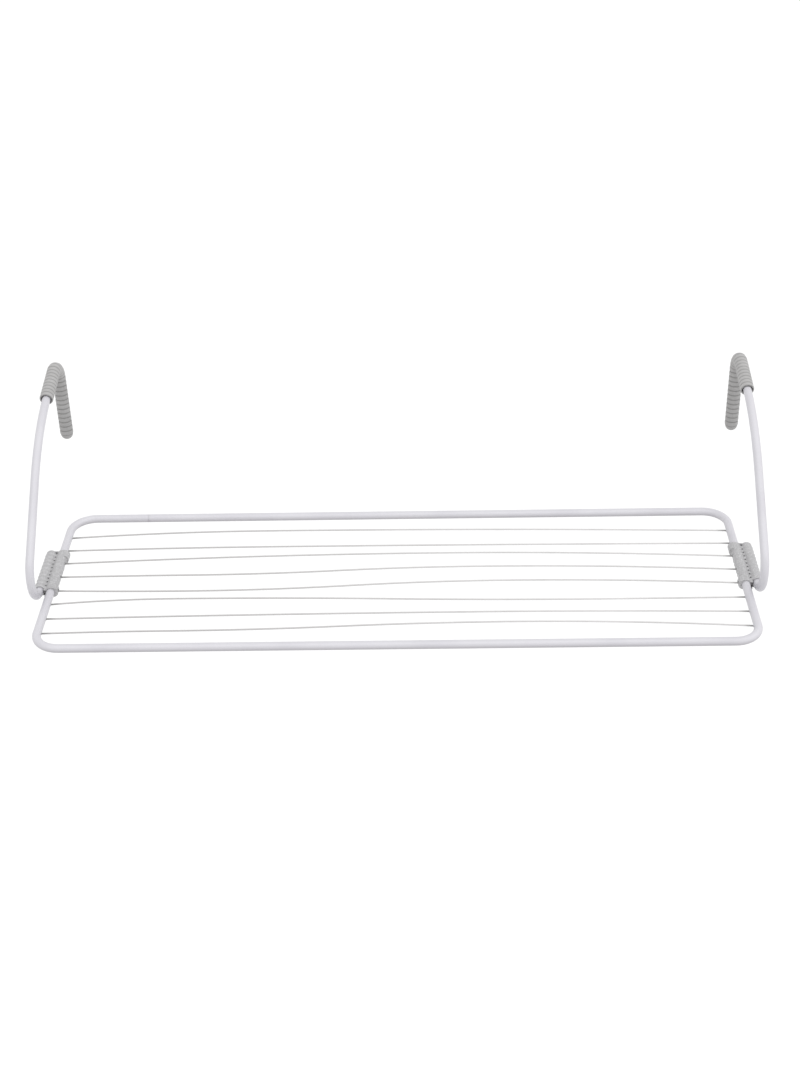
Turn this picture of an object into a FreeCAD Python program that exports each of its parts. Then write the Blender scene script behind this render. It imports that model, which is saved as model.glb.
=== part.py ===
"""Hanging drying rack for a wall top: tube loop, lines, two folding hook arms.

Units are millimetres.  The origin is the front top edge of the wall that the
rack hangs on, midway between the two hooks: +X runs along the wall, +Y goes
over it towards its far side, and +Z is up.  The rack lies in a level plane in
front of the wall, with its back rail against the wall's front face.
"""
import FreeCAD, Part
import math
import os

from FreeCAD import Vector

# ---- rack loop ---------------------------------------------------------
rack_length = 1000.0            # outside size along the wall
rack_depth = 350.0              # outside size away from the wall
rack_tube_od = 12.0
rack_tube_wall = 1.0
rack_corner_radius = 35.5       # centreline bend radius
seam_gap = 0.2                  # where the bent tube's two ends meet
seam_inset = 120.0              # seam in the back rail, from the rack's left side
spigot_length = 60.0            # inner sleeve that joins the two tube ends
spigot_wall = 1.2
spigot_clearance = 0.1          # radial

# ---- drying lines ------------------------------------------------------
line_od = 2.4
line_pitch = 35.3
front_gap = 35.3                # front rail centreline to the first line
line_hole_clearance = 0.1       # radial
line_end_inset = 1.5            # a line stops this far short of the rail centreline

# Each line is slightly bowed: (share of its span, offset towards the wall) of
# every crest and dip, from the front line to the back one.
line_waves = (
    ((0.18, 3.5), (0.66, 17.0)),
    ((0.60, 6.5),),
    ((0.18, 12.0), (0.80, -0.5)),
    ((0.20, -4.0), (0.66, 14.5)),
    ((0.20, 2.0), (0.62, 16.6)),
    ((0.55, 18.5),),
    ((0.30, 5.5),),
    ((0.30, 15.0),),
)

# ---- links: one twin barrel at each side rail --------------------------
link_length = 101.0
link_web = 4.2                  # between the two tubes that a link holds
barrel_wall = 2.0
running_clearance = 0.06        # radial, tube in barrel
slotted_lines = (4, 5, 6)       # lines that pass through a link
slot_width = 5.2
slot_facets = 3                 # flat sides of the wedge that cuts a slot
slot_reach = 1.4                # the wedge's reach, in widest barrel radii
end_ring = 1.5                  # front of the inner barrel to its first slot
lip_angle = 16.0                # upper end of a slot, above level
open_angle = 110.0              # lower end, below level: room for the fold
collar_reach = 2.8              # two collars stand out inboard on the inner barrel
back_collar_length = 15.5
front_collar_length = 10.0
flare_length = 8.5              # the barrel widens into the front collar
flare_root_drop = 0.1           # the flare's narrow end lies this far inside the barrel
mouth_setback = 4.7             # outer barrel starts this far behind the inner one
barrel_end_wall = 5.6
barrel_end_rounding = 1.2
web_top = 4.6                   # above the tubes' centres
bridge_length = 2.2             # the web's back end is higher
bridge_top = 6.8
nose_clearance = 0.5            # front of the web to the arm tube
core_width_above = 1.8          # hollow in the web, open at its front end
core_width_below = 7.0
core_top = -1.2
core_bottom = -6.4
core_depth = 60.0
pocket_count = 10
pocket_pitch = 9.4
pocket_inset = 4.6              # last pocket's centre to the back end
pocket_width = 2.2
pocket_length = 3.6
pocket_depth = 3.6
rib_height = 0.6
rib_width = 3.0
overcut = 1.0                   # a cut runs this far past an open end

# ---- hanging arms ------------------------------------------------------
arm_tube_od = 12.0
arm_tube_wall = 1.0
curl_standoff = 0.7             # straight tube in front of the barrel mouth
curl_radius = 38.6
curl_turn = 139.6
rise_length = 115.5
sweep_radius = 281.7
sweep_turn = 30.1
top_length = 66.9
hook_radius = 25.2
leg_length = 94.3               # straight hook leg, to the centre of its tip
stop_shank_length = 12.0        # snap-in stop in the hidden end of an arm
stop_head_length = 3.0
stop_head_overlap = 0.8         # head radius beyond the tube's
stop_clearance = 0.15

# ---- ribbed sleeves on the hooks ---------------------------------------
sleeve_od = 20.0
groove_depth = 0.8
groove_floor = 1.0              # width of a groove at its bottom
rib_flank = 0.8                 # length of a rib's sloping side
dome_step = 0.3
sleeve_clearance = 0.15         # radial, sleeve on arm
sleeve_rib_pitch = 7.6
mouth_bore = 15.6
mouth_depth = 8.0
arm_end_gap = 1.0               # arm end to the centre of the sleeve's domed tip

# ---- sizes that follow -------------------------------------------------
rail_x = (rack_length - rack_tube_od) / 2
rail_y = (rack_depth - rack_tube_od) / 2
rack_y = -rack_depth / 2
seam_x = seam_inset - rack_length / 2
barrel_spacing = (rack_tube_od + arm_tube_od) / 2 + link_web
arm_x = rail_x + barrel_spacing
inner_bore = rack_tube_od / 2 + running_clearance
outer_bore = arm_tube_od / 2 + running_clearance
inner_barrel = rack_tube_od / 2 + barrel_wall
outer_barrel = arm_tube_od / 2 + barrel_wall
top_slope = 180.0 - curl_turn - sweep_turn
sleeve_radius = sleeve_od / 2
core_radius = sleeve_radius - groove_depth


def line_y(number):
    """Y of a line's two ends; line 1 is the front one."""
    return rack_y - rail_y + front_gap + (number - 1) * line_pitch


link_front = line_y(slotted_lines[0]) - slot_width / 2 - end_ring
link_back = link_front + link_length
barrel_mouth = link_front + mouth_setback
bore_end = link_back - barrel_end_wall
stop_head_back = bore_end - stop_clearance
arm_end = stop_head_back - stop_head_length
curl_start = barrel_mouth - curl_standoff


class Route:
    """Straight runs and tangent arcs in one plane, walked from a start point."""

    def __init__(self, start, direction, normal):
        self.point = start
        self.direction = direction.normalize()
        self.normal = normal
        self.length = 0.0
        self.legs = []

    def run(self, length):
        """Go straight on."""
        self.legs.append((self.point, self.direction, length, None, 0.0))
        self.point = self.point + self.direction * length
        self.length += length
        return self

    def bend(self, radius, degrees):
        """Turn about the plane's normal; negative degrees turn the other way."""
        sense = 1.0 if degrees > 0 else -1.0
        centre = self.point + self.normal.cross(self.direction) * (radius * sense)
        self.legs.append((self.point, self.direction, radius * math.radians(abs(degrees)), centre, degrees))
        turn = FreeCAD.Rotation(self.normal, degrees)
        self.point = centre + turn.multVec(self.point - centre)
        self.direction = turn.multVec(self.direction)
        self.length += self.legs[-1][2]
        return self

    def pose(self, distance):
        """Point and direction at a distance along the route."""
        left = distance
        for start, direction, length, centre, degrees in self.legs:
            if left <= length:
                break
            left -= length
        if centre is None:
            return start + direction * left, direction
        turn = FreeCAD.Rotation(self.normal, degrees * left / length)
        return centre + turn.multVec(start - centre), turn.multVec(direction)

    def tube(self, radius, bore=0.0):
        """Solid round bar or tube along the route."""
        pieces = []
        for start, direction, length, centre, degrees in self.legs:
            section = Part.Face(Part.Wire(Part.makeCircle(radius, start, direction)))
            if bore:
                section = section.cut(Part.Face(Part.Wire(Part.makeCircle(bore, start, direction))))
            if centre is None:
                pieces.append(section.extrude(direction * length))
            else:
                pieces.append(section.revolve(centre, self.normal, degrees))
        return joined(pieces)


def joined(pieces):
    """One solid from touching or overlapping pieces."""
    solid = pieces[0]
    if len(pieces) > 1:
        solid = solid.multiFuse(pieces[1:]).removeSplitter()
    return solid.Solids[0] if len(solid.Solids) == 1 else solid


def bar(radius, x, y_front, y_back, z):
    """Round bar along Y."""
    return Part.makeCylinder(radius, y_back - y_front, Vector(x, y_front, z), Vector(0, 1, 0))


def prism(corners, y_front, y_back):
    """Flat outline of (x, z) corners, drawn out along Y."""
    points = [Vector(x, y_front, z) for x, z in corners]
    points.append(points[0])
    return Part.Face(Part.makePolygon(points)).extrude(Vector(0, y_back - y_front, 0))


def walk_to_sleeve(side, rack_z):
    """Route of an arm from its hidden end to its top run, where the sleeve starts."""
    route = Route(Vector(side * arm_x, arm_end, rack_z), Vector(0, -1, 0), Vector(1, 0, 0))
    route.run(arm_end - curl_start)
    route.bend(curl_radius, -curl_turn)
    route.run(rise_length)
    route.bend(sweep_radius, -sweep_turn)
    return route


def walk_hook(route, leg):
    """Rest of an arm: run over the wall, hook and leg."""
    route.run(top_length)
    route.bend(hook_radius, -90.0 - top_slope)
    route.run(leg)
    return route


def seat_height():
    """Height of the sleeve's underside at the wall's front face, above the rack."""
    start = walk_to_sleeve(1, 0.0).point
    slope = math.radians(top_slope)
    return start.z - start.y * math.tan(slope) - sleeve_radius / math.cos(slope)


rack_z = -seat_height()


def line_route(number):
    """Route of one line, through its crests and dips, from left to right."""
    span = 2 * (rail_x - line_end_inset)
    share, rise = line_waves[(number - 1) % len(line_waves)][0]
    first_turn = 2 * math.degrees(math.atan2(rise, share * span))
    heading = Vector(math.cos(math.radians(first_turn)), math.sin(math.radians(first_turn)), 0)
    route = Route(Vector(-span / 2, line_y(number), rack_z), heading, Vector(0, 0, 1))
    route.bend(arc_radius(share * span, rise), -first_turn)
    for next_share, next_rise in line_waves[(number - 1) % len(line_waves)][1:]:
        half_run = (next_share - share) * span / 2
        half_rise = (next_rise - rise) / 2
        turn = 2 * math.degrees(math.atan2(half_rise, half_run))
        route.bend(arc_radius(half_run, half_rise), turn)
        route.bend(arc_radius(half_run, half_rise), -turn)
        share, rise = next_share, next_rise
    last_run = (1 - share) * span
    route.bend(arc_radius(last_run, rise), -2 * math.degrees(math.atan2(rise, last_run)))
    return route


def arc_radius(run, rise):
    """Radius of an arc that covers run and rise and is level at one end."""
    return (run * run + rise * rise) / (2 * abs(rise))


def make_line(number):
    """One coated wire, its two ends inside the side rails."""
    return line_route(number).tube(line_od / 2)


def make_frame_tube():
    """Bent tube loop with a hole in the side rails for each end of each line."""
    straight_x = rail_x - rack_corner_radius
    straight_y = 2 * (rail_y - rack_corner_radius)
    start = Vector(seam_x + seam_gap / 2, rack_y + rail_y, rack_z)
    route = Route(start, Vector(1, 0, 0), Vector(0, 0, 1))
    route.run(straight_x - seam_x - seam_gap / 2)
    for straight in (straight_y, 2 * straight_x, straight_y):
        route.bend(rack_corner_radius, -90)
        route.run(straight)
    route.bend(rack_corner_radius, -90)
    route.run(straight_x + seam_x - seam_gap / 2)
    tube = route.tube(rack_tube_od / 2, rack_tube_od / 2 - rack_tube_wall)
    holes = [line_route(i + 1).tube(line_od / 2 + line_hole_clearance) for i in range(len(line_waves))]
    return joined([tube.cut(holes)])


def make_spigot():
    """Hidden sleeve inside the back rail, across the seam of the loop."""
    radius = rack_tube_od / 2 - rack_tube_wall - spigot_clearance
    start = Vector(seam_x - spigot_length / 2, rack_y + rail_y, rack_z)
    route = Route(start, Vector(1, 0, 0), Vector(0, 0, 1))
    return route.run(spigot_length).tube(radius, radius - spigot_wall)


def line_slot(side, number):
    """Wedge that opens the inner barrel, so that it turns past one line."""
    reach = slot_reach * (inner_barrel + collar_reach)
    corners = [(side * rail_x, rack_z)]
    for step in range(slot_facets + 1):
        bearing = math.radians(lip_angle - (lip_angle + open_angle) * step / slot_facets)
        x = rail_x - reach * math.cos(bearing)
        corners.append((side * x, rack_z + reach * math.sin(bearing)))
    return prism(corners, line_y(number) - slot_width / 2, line_y(number) + slot_width / 2)


def collar(side, y_back, y_front):
    """Stretch of the inner barrel that stands out inboard."""
    return bar(inner_barrel, side * (rail_x - collar_reach), y_front, y_back, rack_z)


def flare(side, y_back, y_front):
    """Slope on the inner barrel's inboard side, up to a collar in front of it."""
    root = inner_barrel - collar_reach - flare_root_drop
    centre = Vector(side * (rail_x - collar_reach), y_back, rack_z)
    return Part.makeCone(root, inner_barrel, y_back - y_front, centre, Vector(0, -1, 0))


def make_link(side):
    """Twin barrel: the inner one turns on the side rail, the outer one holds an arm."""
    return joined([joined(link_body(side)).cut(link_cuts(side))])


def link_body(side):
    """The link's two barrels, the web between them, its collars and its grip ribs."""
    x_in = side * rail_x
    x_out = side * arm_x
    outer = bar(outer_barrel, x_out, barrel_mouth, link_back, rack_z)
    outer = outer.makeFillet(barrel_end_rounding, [back_rim(outer)])
    nose = barrel_spacing - arm_tube_od / 2 - nose_clearance
    web_back = link_back - barrel_end_rounding
    collar_back = link_front + front_collar_length
    body = [bar(inner_barrel, x_in, link_front, link_back, rack_z), outer]
    body.append(prism(web_corners(side, barrel_spacing, web_top), barrel_mouth, web_back))
    body.append(prism(web_corners(side, barrel_spacing, bridge_top), web_back - bridge_length, web_back))
    body.append(prism(web_corners(side, nose, web_top), link_front, barrel_mouth))
    body.append(collar(side, link_back, link_back - back_collar_length))
    body.append(collar(side, collar_back, link_front))
    body.append(flare(side, collar_back + flare_length, collar_back))
    body += [barrel_rib(x_in, inner_barrel, y) for y in rib_places()]
    body += [barrel_rib(x_out, outer_barrel, y) for y in rib_places()]
    return body


def link_cuts(side):
    """What is cut from a link: its two bores, line slots, pockets and core."""
    x_in = side * rail_x
    x_out = side * arm_x
    head_room = arm_tube_od / 2 + stop_head_overlap + stop_clearance
    cuts = [bar(inner_bore, x_in, link_front - overcut, link_back + overcut, rack_z)]
    cuts.append(bar(outer_bore, x_out, barrel_mouth - overcut, bore_end, rack_z))
    cuts.append(bar(head_room, x_out, arm_end - stop_clearance, bore_end, rack_z))
    cuts += [line_slot(side, number) for number in slotted_lines]
    cuts += [web_pocket(side, y) for y in pocket_places()]
    cuts.append(web_core(side))
    return cuts


def back_rim(cylinder):
    """The edge round the back end of a bar along Y."""
    return max(cylinder.Edges, key=lambda edge: (edge.CenterOfMass.y, edge.Length))


def web_corners(side, reach, height):
    """Section of the web, flat below, from the rail's centre to so far outboard."""
    inner = side * rail_x
    outer = side * (rail_x + reach)
    top = rack_z + height
    bottom = rack_z - inner_barrel
    return [(inner, bottom), (outer, bottom), (outer, top), (inner, top)]


def pocket_places():
    """Y of each pocket in the top of the web, from back to front."""
    return [link_back - pocket_inset - i * pocket_pitch for i in range(pocket_count)]


def rib_places():
    """Y of each grip rib, midway between two pockets."""
    return [y - pocket_pitch / 2 for y in pocket_places()[:-1]]


def web_pocket(side, y):
    """One moulding pocket in the top of the web."""
    x = side * (rail_x + barrel_spacing / 2) - pocket_width / 2
    corner = Vector(x, y - pocket_length / 2, rack_z + web_top - pocket_depth)
    return Part.makeBox(pocket_width, pocket_length, pocket_depth + overcut, corner)


def web_core(side):
    """The hollow that lightens the web, wider below and open at its front end."""
    middle = side * (rail_x + barrel_spacing / 2)
    above = core_width_above / 2
    below = core_width_below / 2
    top = rack_z + core_top
    bottom = rack_z + core_bottom
    corners = [(middle - below, bottom), (middle + below, bottom)]
    corners += [(middle + above, top), (middle - above, top)]
    return prism(corners, link_front - overcut, link_front + core_depth)


def barrel_rib(x, radius, y):
    """Low grip rib round a barrel, sloping off on both flanks."""
    flank = rib_width / 2
    root = radius - rib_height
    crest = radius + rib_height
    along = Vector(0, 1, 0)
    return joined([Part.makeCone(root, crest, flank, Vector(x, y - flank, rack_z), along),
                   Part.makeCone(crest, root, flank, Vector(x, y, rack_z), along)])


def make_arm(side):
    """Bent hanging arm, from its end in the outer barrel to the foot of its hook."""
    route = walk_hook(walk_to_sleeve(side, rack_z), leg_length - arm_end_gap)
    return route.tube(arm_tube_od / 2, arm_tube_od / 2 - arm_tube_wall)


def make_arm_stop(side):
    """Plug in the arm's hidden end; its head turns in the wide part of the bore."""
    shank = arm_tube_od / 2 - arm_tube_wall - stop_clearance
    head = arm_tube_od / 2 + stop_head_overlap
    return joined([bar(shank, side * arm_x, arm_end - stop_shank_length, stop_head_back, rack_z),
                   bar(head, side * arm_x, arm_end, stop_head_back, rack_z)])


def make_sleeve(side):
    """Ribbed soft sleeve over the hook, open at the top and domed at its foot."""
    start = walk_to_sleeve(side, rack_z)
    outside = walk_hook(Route(start.point, start.direction, start.normal), leg_length)
    inside = walk_hook(Route(start.point, start.direction, start.normal), leg_length - arm_end_gap / 2)
    body = [outside.tube(core_radius), Part.makeSphere(core_radius - dome_step, outside.point)]
    count = round(outside.length / sleeve_rib_pitch)
    pitch = outside.length / count
    body += [sleeve_rib(outside, (i + 0.5) * pitch, pitch) for i in range(count)]
    mouth = Part.makeCylinder(mouth_bore / 2, mouth_depth + 1, start.point - start.direction, start.direction)
    bore = inside.tube(arm_tube_od / 2 + sleeve_clearance)
    return joined([joined(body).cut([bore, mouth])])


def sleeve_rib(route, distance, pitch):
    """One flat-topped rib, square to the sleeve, its flanks sloping into the core."""
    point, along = route.pose(distance)
    root = core_radius - groove_depth
    flank = rib_flank * (sleeve_radius - root) / groove_depth
    land = pitch - groove_floor - 2 * rib_flank
    back = point - along * (land / 2)
    front = point + along * (land / 2)
    return joined([Part.makeCone(root, sleeve_radius, flank, back - along * flank, along),
                   Part.makeCylinder(sleeve_radius, land, back, along),
                   Part.makeCone(sleeve_radius, root, flank, front, along)])


def make_parts():
    """Every piece of the rack by name."""
    parts = {"frame_tube": make_frame_tube(), "frame_joint_spigot": make_spigot()}
    for number in range(1, len(line_waves) + 1):
        parts["drying_line_%d" % number] = make_line(number)
    for name, side in (("left", -1), ("right", 1)):
        parts["link_" + name] = make_link(side)
        parts["arm_" + name] = make_arm(side)
        parts["arm_stop_" + name] = make_arm_stop(side)
        parts["hook_sleeve_" + name] = make_sleeve(side)
    return parts


def main():
    """Write one STEP file for each piece."""
    os.makedirs("parts", exist_ok=True)
    for name, shape in make_parts().items():
        shape.exportStep("parts/%s.step" % name)
        box = shape.BoundBox
        print("%-20s solids %d valid %s volume %.0f z %.1f..%.1f" % (
            name, len(shape.Solids), shape.isValid(), shape.Volume, box.ZMin, box.ZMax))


main()
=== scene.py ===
"""Looks of a drying rack that hangs over the top of a wall.

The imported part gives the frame: the tube loop, the drying lines, the twin
barrel links, the bent arms and their sleeves.  This script dresses them:
powder coat on the tubes, round coated wire for the lines, softened mouldings
for the links and ribbed soft sleeves on the hooks.  Sizes are in metres, in
the part's own frame: +X along the wall, +Y over it, +Z up.
"""
import logging
import math
from dataclasses import dataclass, field
from enum import Enum
from typing import Any, Sequence, Union

import bpy
from mathutils import Matrix, Vector


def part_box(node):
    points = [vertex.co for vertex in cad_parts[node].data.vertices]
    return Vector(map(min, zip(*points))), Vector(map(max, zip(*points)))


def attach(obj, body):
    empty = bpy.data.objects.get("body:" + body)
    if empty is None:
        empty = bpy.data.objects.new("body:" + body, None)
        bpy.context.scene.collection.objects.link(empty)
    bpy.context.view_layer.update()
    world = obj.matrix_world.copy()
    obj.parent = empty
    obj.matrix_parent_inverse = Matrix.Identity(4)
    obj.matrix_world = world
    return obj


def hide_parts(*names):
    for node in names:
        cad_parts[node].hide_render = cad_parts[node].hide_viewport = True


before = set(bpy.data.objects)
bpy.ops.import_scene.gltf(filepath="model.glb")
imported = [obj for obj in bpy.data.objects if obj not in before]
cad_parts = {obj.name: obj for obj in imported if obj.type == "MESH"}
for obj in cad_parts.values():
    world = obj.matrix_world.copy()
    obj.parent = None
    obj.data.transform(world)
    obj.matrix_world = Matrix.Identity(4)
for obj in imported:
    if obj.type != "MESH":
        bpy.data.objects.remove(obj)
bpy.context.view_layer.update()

MM = 0.001
LOG = logging.getLogger("drying_rack")

Colour = tuple[float, float, float]
Value = Union["Sock", float, str, Sequence[float], bpy.types.Material]


class Side(Enum):
    """The two ends of the rack, as the sign of X."""

    LEFT = -1
    RIGHT = 1

    @property
    def word(self) -> str:
        """The side's name as it is used in node names."""
        return self.name.lower()


class Slot(Enum):
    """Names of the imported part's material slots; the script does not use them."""

    COAT = "white_powder_coat"
    WIRE = "coated_wire"
    LINK = "grey_link_plastic"
    SLEEVE = "grey_soft_sleeve"


# --------------------------------------------------------------------------
# Node graphs
# --------------------------------------------------------------------------


class Sock:
    """A node socket that takes part in Python expressions."""

    def __init__(self, graph: "Graph", socket: bpy.types.NodeSocket) -> None:
        """Keeps the socket and the graph that new maths nodes go into.

        Args:
            graph: The graph that the socket belongs to.
            socket: An output socket.
        """
        self.graph = graph
        self.socket = socket

    def maths(self, operation: str, *others: Value) -> "Sock":
        """Runs a Math node on this socket and others.

        Args:
            operation: The Math node's operation.
            others: Further operands.

        Returns:
            The node's result.
        """
        operands = dict(enumerate((self, *others)))
        return self.graph.node("ShaderNodeMath", operands, operation=operation)

    def __add__(self, other: Value) -> "Sock":
        """Sum."""
        return self.maths("ADD", other)

    __radd__ = __add__

    def __sub__(self, other: Value) -> "Sock":
        """Difference."""
        return self.maths("SUBTRACT", other)

    def __rsub__(self, other: Value) -> "Sock":
        """Difference with this socket taken away."""
        return (self * -1.0) + other

    def __mul__(self, other: Value) -> "Sock":
        """Product."""
        return self.maths("MULTIPLY", other)

    __rmul__ = __mul__

    def __truediv__(self, other: Value) -> "Sock":
        """Quotient."""
        return self.maths("DIVIDE", other)

    def __abs__(self) -> "Sock":
        """Magnitude."""
        return self.maths("ABSOLUTE")

    def less_than(self, other: Value) -> "Sock":
        """1 where this socket is less than other, else 0."""
        return self.maths("LESS_THAN", other)

    def clamped(self) -> "Sock":
        """This socket kept between 0 and 1."""
        return self.maths("MAXIMUM", 0.0).maths("MINIMUM", 1.0)

    def ramp(self, start: Value, end: Value) -> "Sock":
        """Smooth step from 0 at start to 1 at end."""
        limits = {"Value": self, "From Min": start, "From Max": end}
        return self.graph.node("ShaderNodeMapRange", limits, interpolation_type="SMOOTHSTEP")


class Graph:
    """A node tree that is filled through one method."""

    def __init__(self, tree: bpy.types.NodeTree) -> None:
        """Wraps an empty tree.

        Args:
            tree: A shader or geometry node tree.
        """
        self.tree = tree

    def node(self, kind: str, inputs: dict[str | int, Value] | None = None,
             output: str | int = 0, **settings: Any) -> Sock | None:
        """Adds one node.

        Args:
            kind: The node's type.
            inputs: Values or links by socket name or index.
            output: Name or index of the output that is returned.
            settings: Its properties, set before its sockets.

        Returns:
            That output, or None where the node has no output.
        """
        made = self.tree.nodes.new(kind)
        for name, value in settings.items():
            setattr(made, name, value)
        for key, value in (inputs or {}).items():
            if isinstance(value, Sock):
                self.tree.links.new(value.socket, made.inputs[key])
            else:
                made.inputs[key].default_value = value
        return Sock(self, made.outputs[output]) if made.outputs else None

    def part(self, vector: Sock, axis: str) -> Sock:
        """One component of a vector."""
        return self.node("ShaderNodeSeparateXYZ", {"Vector": vector}, axis)


@dataclass(frozen=True)
class Noise:
    """Fractal noise: features per metre, octaves, and its scale along each axis."""

    per_metre: float
    octaves: float = 3.0
    stretch: tuple[float, float, float] = (1.0, 1.0, 1.0)


@dataclass(frozen=True)
class Patches:
    """Patches cut out of a pattern: where they start, where they are full, their weight."""

    start: float
    full: float
    weight: float

    def of(self, pattern: Sock) -> Sock:
        """The share that these patches have in a pattern."""
        return pattern.ramp(self.start, self.full) * self.weight


class ShaderGraph(Graph):
    """The node tree of one material, read from Object coordinates."""

    MIX_SHARE, MIX_FIRST, MIX_SECOND, MIX_COLOUR = 0, 6, 7, 2

    def __init__(self, name: str) -> None:
        """Makes an empty material.

        Args:
            name: The material's name.
        """
        self.material = bpy.data.materials.new(name)
        self.material.use_nodes = True
        super().__init__(self.material.node_tree)
        self.tree.nodes.clear()
        self.place = self.node("ShaderNodeTexCoord", output="Object")

    def along(self, axis: str) -> Sock:
        """One Object coordinate, in metres."""
        return self.part(self.place, axis)

    def noise(self, noise: Noise) -> Sock:
        """Adds a noise on Object coordinates.

        Args:
            noise: What it is like.

        Returns:
            The noise, about 0.5.
        """
        where = self.node("ShaderNodeMapping", {"Vector": self.place, "Scale": noise.stretch})
        sizes = {"Vector": where, "Scale": noise.per_metre, "Detail": noise.octaves}
        return self.node("ShaderNodeTexNoise", sizes)

    def blend(self, share: Value, first: Colour | Sock, second: Colour | Sock) -> Sock:
        """Mix of two colours.

        Args:
            share: Weight of the second colour.
            first: Linear RGB, or a colour socket.
            second: Linear RGB, or a colour socket.

        Returns:
            The mixed colour.
        """
        first, second = (c if isinstance(c, Sock) else (*c, 1.0) for c in (first, second))
        inputs = {self.MIX_SHARE: share, self.MIX_FIRST: first, self.MIX_SECOND: second}
        return self.node("ShaderNodeMix", inputs, self.MIX_COLOUR,
                         data_type="RGBA", blend_type="MIX")

    def bump(self, height: Sock, depth: float) -> Sock:
        """Normal of a surface whose height of 1 stands for depth metres."""
        return self.node("ShaderNodeBump", {"Height": height, "Distance": depth})

    def surface(self, **sockets: Value) -> bpy.types.Material:
        """Ends the material in a Principled BSDF.

        Args:
            sockets: Its inputs, with underscores for the spaces in their names.

        Returns:
            The material.
        """
        inputs = {name.replace("_", " "): value for name, value in sockets.items()}
        shader = self.node("ShaderNodeBsdfPrincipled", inputs)
        self.node("ShaderNodeOutputMaterial", {"Surface": shader})
        return self.material


class ShapeGraph(Graph):
    """A Geometry Nodes tree that ends in Realize Instances and Set Material."""

    KINDS = {float: "NodeSocketFloat", int: "NodeSocketInt"}

    def __init__(self, name: str) -> None:
        """Makes a tree with a geometry input and output.

        Args:
            name: The tree's name.
        """
        super().__init__(bpy.data.node_groups.new(name, "GeometryNodeTree"))
        for way in ("OUTPUT", "INPUT"):
            self.tree.interface.new_socket("Geometry", in_out=way,
                                           socket_type="NodeSocketGeometry")
        self.values: dict[str, float | int] = {}

    @property
    def source(self) -> Sock:
        """The geometry that the modifier is given."""
        return self.node("NodeGroupInput", output="Geometry")

    def size(self, name: str, value: float | int) -> Sock:
        """Adds a named input.

        Args:
            name: The input's name.
            value: What this use of the tree sets it to.

        Returns:
            The input's socket inside the tree.
        """
        made = self.tree.interface.new_socket(name, in_out="INPUT",
                                              socket_type=self.KINDS[type(value)])
        self.values[made.identifier] = value
        return self.node("NodeGroupInput", output=name)

    def finish(self, geometry: Sock, material: bpy.types.Material) -> None:
        """Ends the tree.

        Args:
            geometry: The finished geometry.
            material: The finish it gets.
        """
        real = self.node("GeometryNodeRealizeInstances", {"Geometry": geometry})
        smooth = self.node("GeometryNodeSetShadeSmooth", {0: real})
        inputs = {"Geometry": smooth, "Material": material}
        dressed = self.node("GeometryNodeSetMaterial", inputs)
        self.node("NodeGroupOutput", {"Geometry": dressed})

    def grow(self, name: str, seed_mesh: bpy.types.Mesh) -> bpy.types.Object:
        """Runs the tree on a mesh and keeps the result as a plain object.

        Args:
            name: The new object's name.
            seed_mesh: The points or edges that the tree starts from.

        Returns:
            The object, with no modifier left on it.
        """
        piece = new_object(name, seed_mesh)
        modifier = piece.modifiers.new(name, "NODES")
        modifier.node_group = self.tree
        for identifier, value in self.values.items():
            modifier[identifier] = value
        apply_modifiers(piece)
        return piece


def new_object(name: str, mesh: bpy.types.Mesh) -> bpy.types.Object:
    """Puts a mesh into the scene.

    Args:
        name: The object's name.
        mesh: Its mesh, in the part's frame.

    Returns:
        The object, at the origin.
    """
    made = bpy.data.objects.new(name, mesh)
    bpy.context.scene.collection.objects.link(made)
    return made


def apply_modifiers(piece: bpy.types.Object) -> None:
    """Turns an object's modifiers into its mesh.

    Args:
        piece: The object.
    """
    graph = bpy.context.evaluated_depsgraph_get()
    mesh = bpy.data.meshes.new_from_object(piece.evaluated_get(graph))
    piece.modifiers.clear()
    piece.data = mesh
    mesh.name = piece.name


def point_mesh(name: str, points: Sequence[Vector], chained: bool = True) -> bpy.types.Mesh:
    """Mesh of points, as a chain of edges or loose.

    Args:
        name: The mesh's name.
        points: The points, in order.
        chained: Whether an edge joins each point to the next.

    Returns:
        The mesh.
    """
    mesh = bpy.data.meshes.new(name)
    edges = [(i, i + 1) for i in range(len(points) - 1)] if chained else []
    mesh.from_pydata([tuple(point) for point in points], edges, [])
    return mesh


def dress(node: str, material: bpy.types.Material) -> None:
    """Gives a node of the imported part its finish.

    Args:
        node: The node's name.
        material: The material for all its slots.
    """
    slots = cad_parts[node].data.materials
    slots.clear()
    slots.append(material)


def loop_level() -> float:
    """Z of the loop's centreline."""
    low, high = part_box("frame_tube")
    return (low.z + high.z) / 2


# --------------------------------------------------------------------------
# Finishes
# --------------------------------------------------------------------------


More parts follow.
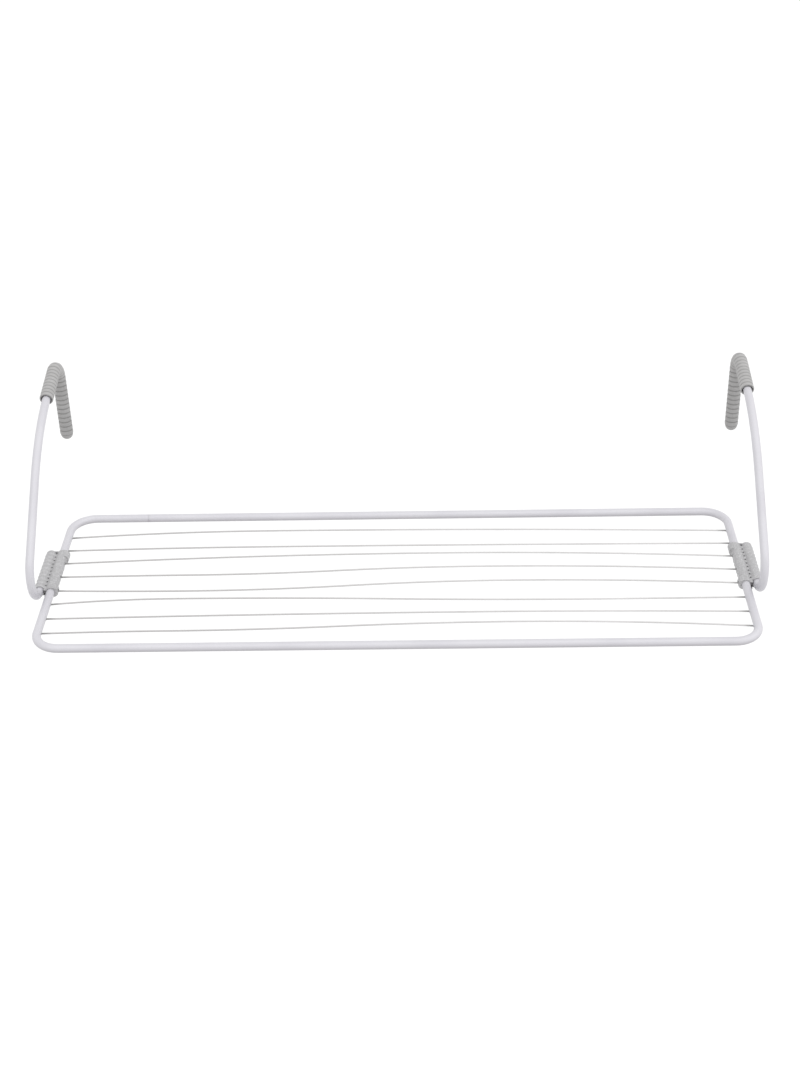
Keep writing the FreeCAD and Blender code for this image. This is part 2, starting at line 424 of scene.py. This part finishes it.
@dataclass(frozen=True)
class PowderCoat:
    """Satin white powder coat with a faint lavender cast, a fine orange peel and painted shade on
    the underside of the level tubes.
    """

    name: str = "satin_white_powder_coat"
    colour: Colour = (0.560, 0.553, 0.584)
    deep: Colour = (0.500, 0.491, 0.528)
    cloud: Noise = Noise(14.0, 2.0)
    cloud_patches: Patches = Patches(0.35, 0.75, 0.55)
    fleck: Noise = Noise(420.0, 2.0)
    fleck_patches: Patches = Patches(0.45, 0.80, 0.25)
    # Painted shade: the undersides of the level tubes are darkened in colour.
    underside_shade: Colour = (0.375, 0.362, 0.388)
    underside_shade_from: float = 3.5 * MM
    underside_shade_to: float = -4.5 * MM
    seam: Colour = (0.34, 0.32, 0.36)
    seam_place: float = -380.0 * MM
    seam_core: float = 0.45 * MM
    seam_width: float = 4.5 * MM
    seam_rail: float = -30.0 * MM
    seam_share: float = 0.05
    seam_share_under: float = 0.7
    sheen: Noise = Noise(60.0)
    rough_from: float = 0.34
    rough_spread: float = 0.16
    peel: Noise = Noise(900.0, 2.0)
    peel_depth: float = 0.06 * MM
    gloss: float = 0.12
    gloss_rough: float = 0.25

    def material(self) -> bpy.types.Material:
        """Builds the material.

        Returns:
            The coat.
        """
        graph = ShaderGraph(self.name)
        cloud = self.cloud_patches.of(graph.noise(self.cloud))
        fleck = self.fleck_patches.of(graph.noise(self.fleck))
        skin = graph.blend((cloud + fleck).clamped(), self.colour, self.deep)
        # Painted shade on the underside of the level tubes.
        underside_shade_share = self._painted_underside_shade(graph)
        colour = graph.blend(underside_shade_share, skin, self.underside_shade)
        marked = self._at_seam(graph) * (underside_shade_share * self.seam_share_under + self.seam_share)
        colour = graph.blend(marked, colour, self.seam)
        rough = graph.noise(self.sheen) * self.rough_spread + self.rough_from
        normal = graph.bump(graph.noise(self.peel), self.peel_depth)
        return graph.surface(Base_Color=colour, Roughness=rough, Normal=normal,
                             Coat_Weight=self.gloss, Coat_Roughness=self.gloss_rough)

    def _at_seam(self, graph: ShaderGraph) -> Sock:
        """Marks the joint in the back rail.

        Args:
            graph: The coat's tree.

        Returns:
            1 over the joint, falling to 0 beside it.
        """
        away = abs(graph.along("X") - self.seam_place)
        near = 1.0 - away.ramp(self.seam_core, self.seam_width)
        return near * graph.along("Y").ramp(self.seam_rail, self.seam_rail + self.seam_width)

    def _painted_underside_shade(self, graph: ShaderGraph) -> Sock:
        """Paints shade on the underside of the level tubes.

        Args:
            graph: The coat's tree.

        Returns:
            The share of the painted underside shade.
        """
        middle = loop_level()
        height = graph.along("Z")
        return 1.0 - height.ramp(middle + self.underside_shade_to, middle + self.underside_shade_from)


@dataclass(frozen=True)
class CoatedWire:
    """Thin light grey plastic coat on drawn wire, greyer where it is handled, with painted shade
    at its ends by the rails.
    """

    name: str = "light_grey_wire_coat"
    colour: Colour = (0.575, 0.565, 0.565)
    worn: Colour = (0.455, 0.450, 0.445)
    drift: Noise = Noise(9.0)
    drift_patches: Patches = Patches(0.35, 0.70, 0.45)
    rubbed: Noise = Noise(160.0, stretch=(0.25, 1.0, 1.0))
    rubbed_patches: Patches = Patches(0.50, 0.85, 0.35)
    handled: Colour = (0.425, 0.415, 0.415)
    handled_from: float = -400.0 * MM
    handled_to: float = 270.0 * MM
    # Painted shade: the wire is darkened at its ends, where it enters the rails.
    end: Colour = (0.16, 0.157, 0.157)
    end_shade_share: float = 0.8
    end_shade_starts: float = 470.0 * MM
    end_shade_full: float = 487.0 * MM
    rough_from: float = 0.28
    rough_spread: float = 0.25
    draw: Noise = Noise(1400.0, 2.0, (0.12, 1.0, 1.0))
    draw_depth: float = 0.04 * MM

    def material(self) -> bpy.types.Material:
        """Builds the material.

        Returns:
            The wire's coat.
        """
        graph = ShaderGraph(self.name)
        rubbed = graph.noise(self.rubbed)
        worn = self.drift_patches.of(graph.noise(self.drift)) + self.rubbed_patches.of(rubbed)
        along = graph.along("X")
        handled = 1.0 - along.ramp(self.handled_from, self.handled_to)
        # Painted shade at the wire's ends, by the rails.
        painted_end_shade = abs(along).ramp(self.end_shade_starts, self.end_shade_full) * self.end_shade_share
        colour = graph.blend(worn.clamped(), self.colour, self.worn)
        colour = graph.blend(handled, colour, self.handled)
        colour = graph.blend(painted_end_shade, colour, self.end)
        rough = rubbed * self.rough_spread + self.rough_from
        normal = graph.bump(graph.noise(self.draw), self.draw_depth)
        return graph.surface(Base_Color=colour, Roughness=rough, Normal=normal)


@dataclass(frozen=True)
class MouldedPlastic:
    """Mid grey moulded plastic, mottled, with a fine spark-eroded texture, painted highlights and
    shade on the arm barrel's ribs, and painted shade on the web's front end.
    """

    name: str = "grey_moulded_plastic"
    colour: Colour = (0.420, 0.417, 0.424)
    # deep and pale are the mottle's tones and also serve as the painted shade and painted
    # highlight on the ribs.
    deep: Colour = (0.345, 0.342, 0.348)
    pale: Colour = (0.54, 0.54, 0.55)
    flow: Noise = Noise(55.0, 4.0, (1.0, 0.35, 1.0))
    flow_patches: Patches = Patches(0.30, 0.75, 0.3)
    mottle: Noise = Noise(560.0)
    deep_patches: Patches = Patches(0.42, 0.60, 0.6)
    pale_patches: Patches = Patches(0.54, 0.66, 0.7)
    grain: Noise = Noise(2600.0, 2.0)
    grain_patches: Patches = Patches(0.4, 0.8, 0.1)
    grain_depth: float = 0.05 * MM
    # Painted highlights on the rib crests and painted shade in the valleys, stronger on the left
    # link.
    rib_inset: float = 9.3 * MM
    rib_pitch: float = 9.4 * MM
    rib_patches: Patches = Patches(0.1, 0.9, 0.30)
    rib_light_share: float = 0.3
    rib_light_share_left: float = 0.7
    arm_barrel_from: float = 502.0 * MM
    arm_barrel_full: float = 506.0 * MM
    # Painted shade on the web's front end, between the rail and the arm.
    gap_shade: Colour = (0.130, 0.125, 0.130)
    gap_from: float = 499.6 * MM
    gap_to: float = 504.6 * MM
    gap_depth: float = 6.0 * MM
    gap_top: float = 3.0 * MM
    gap_edge: float = 1.0 * MM
    rough_from: float = 0.40
    rough_spread: float = 0.18

    def material(self) -> bpy.types.Material:
        """Builds the material.

        Returns:
            The plastic.
        """
        graph = ShaderGraph(self.name)
        flow, mottle, grain = (graph.noise(n) for n in (self.flow, self.mottle, self.grain))
        sunk = self.flow_patches.of(flow) + self.deep_patches.of(mottle)
        sunk = (sunk + self.grain_patches.of(grain)).clamped()
        colour = graph.blend(sunk, self.colour, self.deep)
        colour = graph.blend(self.pale_patches.of(1.0 - mottle), colour, self.pale)
        # Painted highlights on the rib crests and painted shade in the rib valleys.
        crest_highlight, valley_shade = self._painted_rib_light(graph)
        colour = graph.blend(valley_shade, graph.blend(crest_highlight, colour, self.pale), self.deep)
        # Painted shade on the web's front end, between the rail and the arm.
        colour = graph.blend(self._painted_gap_shade(graph), colour, self.gap_shade)
        rough = flow * self.rough_spread + self.rough_from
        normal = graph.bump(grain, self.grain_depth)
        return graph.surface(Base_Color=colour, Roughness=rough, Normal=normal)

    def _painted_rib_light(self, graph: ShaderGraph) -> tuple[Sock, Sock]:
        """Paints highlights on the crests and shade in the valleys of the arm barrel's ribs,
        stronger on the left one.

        Args:
            graph: The plastic's tree.

        Returns:
            The shares of the painted highlight on the crests and of the painted shade in the
            valleys.
        """
        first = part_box("link_left")[1].y - self.rib_inset
        outward = graph.along("X")
        wave = ((graph.along("Y") - first) * (math.tau / self.rib_pitch)).maths("COSINE")
        barrel = abs(outward).ramp(self.arm_barrel_from, self.arm_barrel_full)
        weight = barrel * (outward.less_than(0.0) * self.rib_light_share_left + self.rib_light_share)
        return self.rib_patches.of(wave) * weight, self.rib_patches.of(wave * -1.0) * weight

    def _painted_gap_shade(self, graph: ShaderGraph) -> Sock:
        """Paints shade on the web's front end, between the rail and the arm.

        Args:
            graph: The plastic's tree.

        Returns:
            The share of the painted shade.
        """
        edge = self.gap_edge
        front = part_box("link_left")[0].y + self.gap_depth
        top = loop_level() + self.gap_top
        outward = abs(graph.along("X"))
        beside_rail = outward.ramp(self.gap_from, self.gap_from + edge)
        beside_arm = 1.0 - outward.ramp(self.gap_to - edge, self.gap_to)
        ahead = 1.0 - graph.along("Y").ramp(front, front + edge)
        below = 1.0 - graph.along("Z").ramp(top, top + edge)
        return beside_rail * beside_arm * ahead * below


@dataclass(frozen=True)
class SoftMoulding:
    """Soft matt grey moulding, with painted shade in its grooves and on its leg behind the wall.
    """

    name: str = "grey_soft_moulding"
    colour: Colour = (0.393, 0.388, 0.387)
    deep: Colour = (0.315, 0.310, 0.308)
    cloud: Noise = Noise(40.0, 4.0)
    cloud_patches: Patches = Patches(0.30, 0.75, 0.55)
    grain: Noise = Noise(1900.0, 2.0)
    grain_patches: Patches = Patches(0.4, 0.8, 0.25)
    grain_depth: float = 0.07 * MM
    # Painted shade in the grooves between the ribs.
    groove: Colour = (0.182, 0.178, 0.174)
    groove_shade_share: float = 0.7
    # Painted shade: the leg behind the wall is darkened low down.
    leg_shade: Colour = (0.03, 0.029, 0.027)
    leg_shade_share: float = 0.155
    leg_shade_from: float = 8.0 * MM
    leg_shade_to: float = -18.0 * MM
    rough_from: float = 0.44
    rough_spread: float = 0.16
    rough_groove: float = 0.15

    def material(self) -> bpy.types.Material:
        """Builds the material.

        Returns:
            The sleeves' moulding.
        """
        graph = ShaderGraph(self.name)
        cloud, grain = (graph.noise(n) for n in (self.cloud, self.grain))
        share = (self.cloud_patches.of(cloud) + self.grain_patches.of(grain)).clamped()
        skin = graph.blend(share, self.colour, self.deep)
        sunk = graph.node("ShaderNodeAttribute", output="Fac", attribute_name=RibbedSleeve.SUNK)
        # Painted shade on the leg, low down.
        painted_leg_shade = 1.0 - graph.along("Z").ramp(self.leg_shade_to, self.leg_shade_from)
        # Painted shade in the grooves.
        colour = graph.blend(sunk * self.groove_shade_share, skin, self.groove)
        colour = graph.blend(painted_leg_shade * self.leg_shade_share, colour, self.leg_shade)
        rough = cloud * self.rough_spread + sunk * self.rough_groove + self.rough_from
        normal = graph.bump(grain, self.grain_depth)
        return graph.surface(Base_Color=colour, Roughness=rough, Normal=normal)


@dataclass(frozen=True)
class BareSteel:
    """Bare drawn steel with fine marks along the tube."""

    name: str = "bare_drawn_steel"
    colour: Colour = (0.42, 0.41, 0.40)
    bright: Colour = (0.56, 0.55, 0.54)
    marks: Noise = Noise(900.0, stretch=(0.05, 1.0, 1.0))
    rough_from: float = 0.3
    rough_spread: float = 0.2

    def material(self) -> bpy.types.Material:
        """Builds the material.

        Returns:
            The steel.
        """
        graph = ShaderGraph(self.name)
        marks = graph.noise(self.marks)
        colour = graph.blend(marks, self.colour, self.bright)
        rough = marks * self.rough_spread + self.rough_from
        return graph.surface(Base_Color=colour, Metallic=1.0, Roughness=rough)


# --------------------------------------------------------------------------
# Sub-assemblies
# --------------------------------------------------------------------------


@dataclass
class BentPath:
    """Straight runs and bends in a plane of constant X, walked from a start."""

    point: Vector
    heading: float
    step: float = 1.0 * MM
    points: list[Vector] = field(default_factory=list)

    def __post_init__(self) -> None:
        """Puts the start on the list."""
        self.points.append(self.point.copy())

    def _ahead(self, distance: float, turn: float) -> None:
        """Takes one short step, turning by half of turn before it and half after.

        Args:
            distance: The step's length.
            turn: How far the heading turns, in radians.
        """
        self.heading += turn / 2
        way = Vector((0, math.cos(self.heading), math.sin(self.heading)))
        self.point = self.point + way * distance
        self.heading += turn / 2
        self.points.append(self.point.copy())

    def run(self, length: float) -> None:
        """Goes straight on.

        Args:
            length: How far.
        """
        steps = max(1, round(length / self.step))
        for _ in range(steps):
            self._ahead(length / steps, 0.0)

    def bend(self, radius: float, degrees: float) -> None:
        """Turns on an arc.

        Args:
            radius: The arc's radius.
            degrees: How far it turns; positive lifts the heading.
        """
        turn = math.radians(degrees)
        steps = max(2, math.ceil(abs(turn) * radius / self.step))
        chord = 2 * radius * math.sin(abs(turn) / steps / 2)
        for _ in range(steps):
            self._ahead(chord, turn / steps)


@dataclass
class RackLoop:
    """The bent tube loop, with a bead of coating where each line enters it."""

    coat: bpy.types.Material
    steel: bpy.types.Material
    bead_radius: float = 0.55 * MM
    bead_offset: float = 0.35 * MM
    bead_sides: int = 10
    bead_steps: int = 28

    def build(self, lines: "DryingLines") -> None:
        """Dresses the loop and rings every line end with a bead.

        Args:
            lines: The drying lines, which give the beads' places.
        """
        dress("frame_tube", self.coat)
        dress("frame_joint_spigot", self.steel)
        beads = self._beads(lines)
        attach(beads, "rack")
        LOG.info("rack loop: tube, spigot and %d entry beads", len(lines.entries()))

    def _beads(self, lines: "DryingLines") -> bpy.types.Object:
        """Grows the beads.

        Args:
            lines: The drying lines.

        Returns:
            One object that holds all the beads.
        """
        graph = ShapeGraph("entry_beads")
        ring = graph.size("Ring Radius", lines.radius + self.bead_offset)
        thick = graph.size("Bead Radius", self.bead_radius)
        circle, section = (
            graph.node("GeometryNodeCurvePrimitiveCircle", {"Resolution": count, "Radius": radius})
            for count, radius in ((self.bead_steps, ring), (self.bead_sides, thick)))
        bead = graph.node("GeometryNodeCurveToMesh",
                          {"Curve": circle, "Profile Curve": section})
        upright = graph.node("GeometryNodeTransform",
                             {"Geometry": bead, "Rotation": (0.0, math.pi / 2, 0.0)})
        every = graph.node("GeometryNodeInstanceOnPoints",
                           {"Points": graph.source, "Instance": upright})
        graph.finish(every, self.coat)
        seeds = point_mesh("entry_points", lines.entries(), chained=False)
        return graph.grow("line_entry_beads", seeds)


@dataclass
class DryingLines:
    """Eight coated wires, each with its own slight bow.

    The waves are each line's crests and dips, from the front line to the back
    one: (share of its span, offset towards the wall in millimetres).
    """

    wire: bpy.types.Material
    radius: float = 1.2 * MM
    pitch: float = 35.3 * MM
    end_inset: float = 1.5 * MM
    sides: int = 18
    steps: int = 240
    waves: tuple[tuple[tuple[float, float], ...], ...] = (
        ((0.18, 3.5), (0.66, 17.0)),
        ((0.60, 6.5),),
        ((0.18, 12.0), (0.80, -0.5)),
        ((0.20, -4.0), (0.66, 14.5)),
        ((0.20, 2.0), (0.62, 16.6)),
        ((0.55, 18.5),),
        ((0.30, 5.5),),
        ((0.30, 15.0),),
    )

    def __post_init__(self) -> None:
        """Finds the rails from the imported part."""
        low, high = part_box("frame_tube")
        tube_radius = (high.z - low.z) / 2
        self.half_span = high.x - tube_radius - self.end_inset
        self.front = low.y + tube_radius
        self.level = loop_level()
        self.rail_inside = high.x - 2 * tube_radius

    def offset(self, number: int, share: float) -> float:
        """How far a line stands off its chord.

        The offset eases from one crest or dip to the next, and is level on it.

        Args:
            number: The line, 0 at the front.
            share: Share of its span, from the left.

        Returns:
            The offset towards the wall.
        """
        marks = ((0.0, 0.0), *self.waves[number], (1.0, 0.0))
        last = len(marks) - 1
        index = next((i for i in range(1, last) if share <= marks[i][0]), last)
        (start, low), (end, high) = marks[index - 1], marks[index]
        done = (share - start) / (end - start)
        if index == 1:
            eased = 1 - (1 - done) ** 2
        elif index == last:
            eased = done ** 2
        else:
            eased = 2 * done * done if done < 0.5 else 1 - 2 * (1 - done) ** 2
        return (low + (high - low) * eased) * MM

    def point(self, number: int, share: float) -> Vector:
        """A point of a line's centre.

        Args:
            number: The line, 0 at the front.
            share: Share of its span, from the left.

        Returns:
            The point.
        """
        y = self.front + (number + 1) * self.pitch + self.offset(number, share)
        return Vector(((2 * share - 1) * self.half_span, y, self.level))

    def entries(self) -> list[Vector]:
        """Where the lines enter the side rails, on the rails' inner faces."""
        share = (self.rail_inside / self.half_span + 1) / 2
        return [self.point(i, s) for i in range(len(self.waves)) for s in (1 - share, share)]

    def build(self) -> None:
        """Grows every line and lets it stand for its node."""
        for number in range(len(self.waves)):
            piece = self._line(number)
            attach(piece, "rack")
            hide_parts("drying_line_%d" % (number + 1))
            LOG.info("drying line %d: %d faces", number + 1, len(piece.data.polygons))

    def _line(self, number: int) -> bpy.types.Object:
        """Grows one line.

        Args:
            number: The line, 0 at the front.

        Returns:
            The line's object.
        """
        points = [self.point(number, i / self.steps) for i in range(self.steps + 1)]
        graph = ShapeGraph("line_%d" % (number + 1))
        radius = graph.size("Line Radius", self.radius)
        sides = graph.size("Sides", self.sides)
        path = graph.node("GeometryNodeMeshToCurve", {"Mesh": graph.source})
        section = graph.node("GeometryNodeCurvePrimitiveCircle",
                             {"Resolution": sides, "Radius": radius})
        solid = graph.node("GeometryNodeCurveToMesh",
                           {"Curve": path, "Profile Curve": section, "Fill Caps": True})
        graph.finish(solid, self.wire)
        name = "coated_line_%d" % (number + 1)
        return graph.grow(name, point_mesh(name, points))


@dataclass
class TwinBarrelLink:
    """One moulded link, its edges softened as a moulding's are."""

    side: Side
    plastic: bpy.types.Material
    weld: float = 0.002 * MM
    voxel: float = 0.30 * MM
    soften: float = 0.5
    soften_rounds: int = 2
    kept_share: float = 0.3

    def build(self) -> None:
        """Makes the softened moulding and lets it stand for its node."""
        node = "link_" + self.side.word
        piece = new_object("moulded_" + node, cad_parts[node].data.copy())
        for kind, settings in (
            ("WELD", {"merge_threshold": self.weld}),
            ("REMESH", {"mode": "VOXEL", "voxel_size": self.voxel, "use_smooth_shade": True}),
            ("SMOOTH", {"factor": self.soften, "iterations": self.soften_rounds}),
            ("DECIMATE", {"ratio": self.kept_share}),
        ):
            modifier = piece.modifiers.new(kind.lower(), kind)
            for key, value in settings.items():
                setattr(modifier, key, value)
        apply_modifiers(piece)
        piece.data.materials.clear()
        piece.data.materials.append(self.plastic)
        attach(piece, node)
        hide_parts(node)
        LOG.info("%s link: %d faces", self.side.word, len(piece.data.polygons))


@dataclass(frozen=True)
class SleeveGrid:
    """A flat grid whose rows become rings: up the bore first, then down the outside."""

    mesh: Sock
    along: Sock
    around: Sock
    inside: Sock
    outer_station: Sock
    station: Sock


@dataclass
class RibbedSleeve:
    """The soft ribbed sleeve on a hook, open at its mouth and domed at its foot."""

    side: Side
    rubber: bpy.types.Material
    radius: float = 10.0 * MM
    groove_depth: float = 0.8 * MM
    groove_floor: float = 1.0 * MM
    flank: float = 0.8 * MM
    rib_pitch: float = 7.6 * MM
    rib_crown: float = 0.18 * MM
    bore: float = 6.15 * MM
    mouth_bore: float = 7.8 * MM
    mouth_depth: float = 8.0 * MM
    lip: float = 0.7 * MM
    lip_drop: float = 0.56 * MM
    top_slope: float = 10.3
    top_length: float = 66.9 * MM
    hook_radius: float = 25.2 * MM
    leg_length: float = 94.05 * MM
    sides: int = 56
    rings_per_rib: int = 14
    rings_of_dome: int = 20
    inner_share: float = 0.2
    closing_ring: float = 1e-5
    weld: float = 0.005 * MM

    SUNK = "sunk"

    def path(self) -> list[Vector]:
        """Walks the sleeve's centreline from its mouth to the tip of its dome.

        Returns:
            The centreline's points, in the part's frame.
        """
        low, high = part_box("hook_sleeve_" + self.side.word)
        walked = BentPath(Vector((0, 0, 0)), math.radians(self.top_slope))
        walked.run(self.top_length)
        walked.bend(self.hook_radius, -90.0 - self.top_slope)
        walked.run(self.leg_length + self.radius - self.groove_depth)
        tip = walked.point
        shift = Vector(((low.x + high.x) / 2, high.y - self.radius - tip.y, low.z - tip.z))
        return [point + shift for point in walked.points]

    def build(self) -> None:
        """Grows the sleeve and lets it stand for its node."""
        points = self.path()
        length = sum((b - a).length for a, b in zip(points, points[1:]))
        straight = length - (self.radius - self.groove_depth)
        ribs = round(straight / self.rib_pitch)
        name = "ribbed_sleeve_" + self.side.word
        graph = ShapeGraph(name)
        size = self._sizes(graph, straight, ribs)
        grid = self._grid(graph, size)
        radius, sunk = self._radius(grid, size)
        graph.finish(self._wrapped(graph, grid, radius, sunk), self.rubber)
        piece = graph.grow(name, point_mesh(name, points))
        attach(piece, "arm_" + self.side.word)
        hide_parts("hook_sleeve_" + self.side.word)
        LOG.info("%s sleeve: %d ribs, %d faces", self.side.word, ribs, len(piece.data.polygons))

    def _sizes(self, graph: ShapeGraph, straight: float, ribs: int) -> dict[str, Sock]:
        """Gives the tree its named inputs.

        Args:
            graph: An empty tree.
            straight: The centreline's length without the dome.
            ribs: How many ribs there are.

        Returns:
            The inputs by name.
        """
        rings = int(ribs * self.rings_per_rib / (1 - self.inner_share)) + self.rings_of_dome
        return {name: graph.size(name, value) for name, value in (
            ("Outer Radius", self.radius),
            ("Groove Depth", self.groove_depth),
            ("Rib Pitch", straight / ribs),
            ("Groove Floor", self.groove_floor),
            ("Rib Flank", self.flank),
            ("Bore Radius", self.bore),
            ("Mouth Radius", self.mouth_bore),
            ("Ribbed Length", straight),
            ("Rings", rings),
            ("Sides", self.sides + 1),
        )}

    def _grid(self, graph: ShapeGraph, size: dict[str, Sock]) -> SleeveGrid:
        """Lays out the grid and says how far along the centreline each row goes.

        Args:
            graph: The sleeve's tree.
            size: Its named inputs.

        Returns:
            The grid.
        """
        mesh = graph.node("GeometryNodeMeshGrid", {"Size X": 1.0, "Size Y": 1.0,
                                                   "Vertices X": size["Rings"],
                                                   "Vertices Y": size["Sides"]})
        place = graph.node("GeometryNodeInputPosition")
        along = graph.part(place, "X") + 0.5
        around = graph.part(place, "Y") + 0.5
        inside = along.less_than(self.inner_share)
        length = size["Ribbed Length"]
        dome = size["Outer Radius"] - size["Groove Depth"]
        inner_station = (1.0 - along / self.inner_share) * length
        outer_share = (along - self.inner_share) / (1.0 - self.inner_share)
        outer_station = outer_share * (length + dome)
        station = inner_station * inside + outer_station * (1.0 - inside)
        return SleeveGrid(mesh, along, around, inside, outer_station, station)

    def _radius(self, grid: SleeveGrid, size: dict[str, Sock]) -> tuple[Sock, Sock]:
        """Shapes the bore, the ribs and the dome.

        Args:
            grid: The grid.
            size: The tree's named inputs.

        Returns:
            The radius of each ring, and how deep it lies in a groove, 0 to 1.
        """
        outer, depth, pitch = size["Outer Radius"], size["Groove Depth"], size["Rib Pitch"]
        length, flank, bore = size["Ribbed Length"], size["Rib Flank"], size["Bore Radius"]
        run, outside = grid.outer_station, 1.0 - grid.inside
        from_crest = abs((run / pitch).maths("FRACT") - 0.5) * pitch
        land = pitch * 0.5 - size["Groove Floor"] * 0.5 - flank
        sunk = from_crest.ramp(land, land + flank)
        crown = (from_crest / land).maths("POWER", 2.0).maths("MINIMUM", 1.0) * self.rib_crown
        ribbed = outer - depth * sunk - crown * (1.0 - sunk)
        lip = (1.0 - run / self.lip).maths("MAXIMUM", 0.0).maths("POWER", 2.0) * self.lip_drop
        dome = outer - depth
        beyond = ((run - length) / dome).clamped()
        domed = dome * (1.0 - beyond * beyond).maths("SQRT")
        past = length.less_than(run)
        outer_radius = (ribbed - lip) * (1.0 - past) + domed * past
        widened = 1.0 - grid.station.ramp(self.mouth_depth - self.lip, self.mouth_depth)
        inner_radius = bore + (size["Mouth Radius"] - bore) * widened
        open_bore = 1.0 - grid.along.less_than(self.closing_ring)
        radius = outer_radius * outside + inner_radius * grid.inside * open_bore
        return radius, sunk * outside * (1.0 - past)

    def _wrapped(self, graph: ShapeGraph, grid: SleeveGrid, radius: Sock, sunk: Sock) -> Sock:
        """Wraps the grid round the centreline and closes it.

        Args:
            graph: The sleeve's tree.
            grid: The grid.
            radius: The radius of each ring.
            sunk: How deep each ring lies in a groove.

        Returns:
            The closed sleeve.
        """
        curve = graph.node("GeometryNodeMeshToCurve", {"Mesh": graph.source})
        centre, tangent = (
            graph.node("GeometryNodeSampleCurve", {"Curves": curve, "Length": grid.station},
                       output, mode="LENGTH", use_all_curves=True)
            for output in ("Position", "Tangent"))
        angle = grid.around * math.tau
        upward = graph.node("ShaderNodeVectorMath", {0: tangent, 1: (1.0, 0.0, 0.0)},
                            operation="CROSS_PRODUCT")
        sideways = graph.node("ShaderNodeCombineXYZ", {"X": radius * angle.maths("COSINE")})
        lift = {0: upward, "Scale": radius * angle.maths("SINE")}
        lifted = graph.node("ShaderNodeVectorMath", lift, operation="SCALE")
        ring = graph.node("ShaderNodeVectorMath", {0: sideways, 1: lifted}, operation="ADD")
        target = graph.node("ShaderNodeVectorMath", {0: centre, 1: ring}, operation="ADD")
        marks = {"Geometry": grid.mesh, "Name": self.SUNK, "Value": sunk}
        marked = graph.node("GeometryNodeStoreNamedAttribute", marks,
                            data_type="FLOAT", domain="POINT")
        wrapped = graph.node("GeometryNodeSetPosition", {"Geometry": marked, "Position": target})
        return graph.node("GeometryNodeMergeByDistance",
                          {"Geometry": wrapped, "Distance": self.weld})


@dataclass
class HookArm:
    """One hanging arm: the bent tube and the stop in its hidden end."""

    side: Side
    coat: bpy.types.Material
    plastic: bpy.types.Material

    def build(self) -> None:
        """Dresses the arm and its stop."""
        dress("arm_" + self.side.word, self.coat)
        dress("arm_stop_" + self.side.word, self.plastic)
        LOG.info("%s arm and its stop", self.side.word)


# --------------------------------------------------------------------------
# Studio
# --------------------------------------------------------------------------


@dataclass(frozen=True)
class Lamp:
    """One far, broad, soft lamp.

    It says the direction that the lamp is seen in from the rack, its power in
    watts per square metre, and how broad it looks from the rack, in degrees.
    """

    name: str
    towards: tuple[float, float, float]
    power: float
    width: float

    def hang(self) -> None:
        """Puts the lamp into the scene."""
        data = bpy.data.lights.new(self.name, "SUN")
        data.energy = self.power
        data.angle = math.radians(self.width)
        lamp = bpy.data.objects.new(self.name, data)
        bpy.context.scene.collection.objects.link(lamp)
        lamp.rotation_euler = Vector(self.towards).to_track_quat("Z", "Y").to_euler()


@dataclass
class Studio:
    """A pale floor, soft lamps and the camera, whose angles are in degrees."""

    floor_drop: float = 0.62
    floor_size: float = 160.0
    floor_noise: Noise = Noise(0.8, 2.0)
    floor_grey: Colour = (0.80, 0.80, 0.80)
    floor_pale: Colour = (0.82, 0.82, 0.82)
    floor_rough: float = 0.9
    floor_shine: float = 0.1
    room_light: float = 0.85
    lamps: tuple[Lamp, ...] = (
        Lamp("key", (-0.30, -0.55, 1.3), 0.85, 55.0),
        Lamp("fill", (0.85, -0.25, 1.0), 0.95, 70.0),
    )
    camera_place: tuple[float, float, float] = (0.0536, -2.2157, 1.1430)
    camera_pan: float = 1.357
    camera_tilt: float = 32.243
    camera_roll: float = -1.41
    lens: float = 56.1
    sensor: float = 36.0

    def build(self) -> None:
        """Sets up floor, lamps, world and camera."""
        self._floor()
        self._world()
        for lamp in self.lamps:
            lamp.hang()
        self._camera()
        LOG.info("studio: floor, %d lamps and camera", len(self.lamps))

    def _floor(self) -> None:
        """Lays the floor."""
        half = self.floor_size / 2
        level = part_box("frame_tube")[0].z - self.floor_drop
        corners = [(x * half, y * half, level) for x, y in ((-1, -1), (1, -1), (1, 1), (-1, 1))]
        mesh = bpy.data.meshes.new("studio_floor")
        mesh.from_pydata(corners, [], [(0, 1, 2, 3)])
        floor = new_object("studio_floor", mesh)
        graph = ShaderGraph("pale_floor")
        colour = graph.blend(graph.noise(self.floor_noise), self.floor_grey, self.floor_pale)
        mesh.materials.append(graph.surface(Base_Color=colour, Roughness=self.floor_rough,
                                            Specular_IOR_Level=self.floor_shine))

    def _world(self) -> None:
        """Gives the room an even light."""
        world = bpy.data.worlds.new("studio_room")
        bpy.context.scene.world = world
        world.use_nodes = True
        back = world.node_tree.nodes["Background"]
        back.inputs["Color"].default_value = (1.0, 1.0, 1.0, 1.0)
        back.inputs["Strength"].default_value = self.room_light

    def _camera(self) -> None:
        """Places the camera."""
        data = bpy.data.cameras.new("camera")
        data.lens = self.lens
        data.sensor_width = self.sensor
        camera = bpy.data.objects.new("camera", data)
        bpy.context.scene.collection.objects.link(camera)
        turn = Matrix.Rotation(math.radians(self.camera_pan), 4, "Z")
        tip = Matrix.Rotation(math.radians(90.0 - self.camera_tilt), 4, "X")
        roll = Matrix.Rotation(math.radians(self.camera_roll), 4, "Z")
        camera.matrix_world = Matrix.Translation(self.camera_place) @ turn @ tip @ roll
        bpy.context.scene.camera = camera
        bpy.context.scene.view_settings.view_transform = "Standard"


def main() -> None:
    """Builds every piece, in order."""
    logging.basicConfig(level=logging.INFO, format="%(name)s: %(message)s")
    coat = PowderCoat().material()
    wire = CoatedWire().material()
    plastic = MouldedPlastic().material()
    rubber = SoftMoulding().material()
    steel = BareSteel().material()
    lines = DryingLines(wire)
    RackLoop(coat, steel).build(lines)
    lines.build()
    for side in Side:
        TwinBarrelLink(side, plastic).build()
        HookArm(side, coat, plastic).build()
        RibbedSleeve(side, rubber).build()
    Studio().build()


if __name__ == "__main__":
    main()
